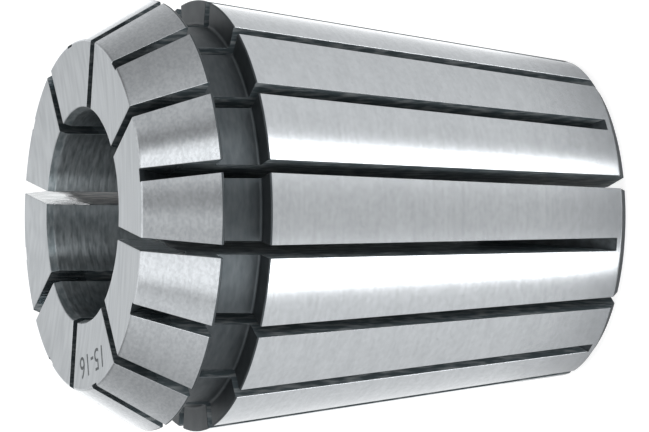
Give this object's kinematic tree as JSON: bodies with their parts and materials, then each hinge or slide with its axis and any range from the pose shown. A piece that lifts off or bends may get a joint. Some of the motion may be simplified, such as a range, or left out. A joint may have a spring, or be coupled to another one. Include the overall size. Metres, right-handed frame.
{
  "type": "er collet",
  "caption": "Slotted spring collet of ground steel with a cylindrical clamping bore, a tapered body, an extraction groove and a conical nose.",
  "frame": {"origin": "centre of the tail face, the small flat end that the collet stands on", "axes": "+Z along the collet's axis from the tail to the nose; +X through the middle of a slot that is open at the nose"},
  "size_m": [0.033, 0.033, 0.04],
  "materials": {
    "ground_steel": "hardened spring steel, ground all over, darker where it was only turned or sawn: in the groove, the bore and the slots"
  },
  "bodies": {
    "root": {"collet": "ground_steel"}
  },
  "joints": []
}
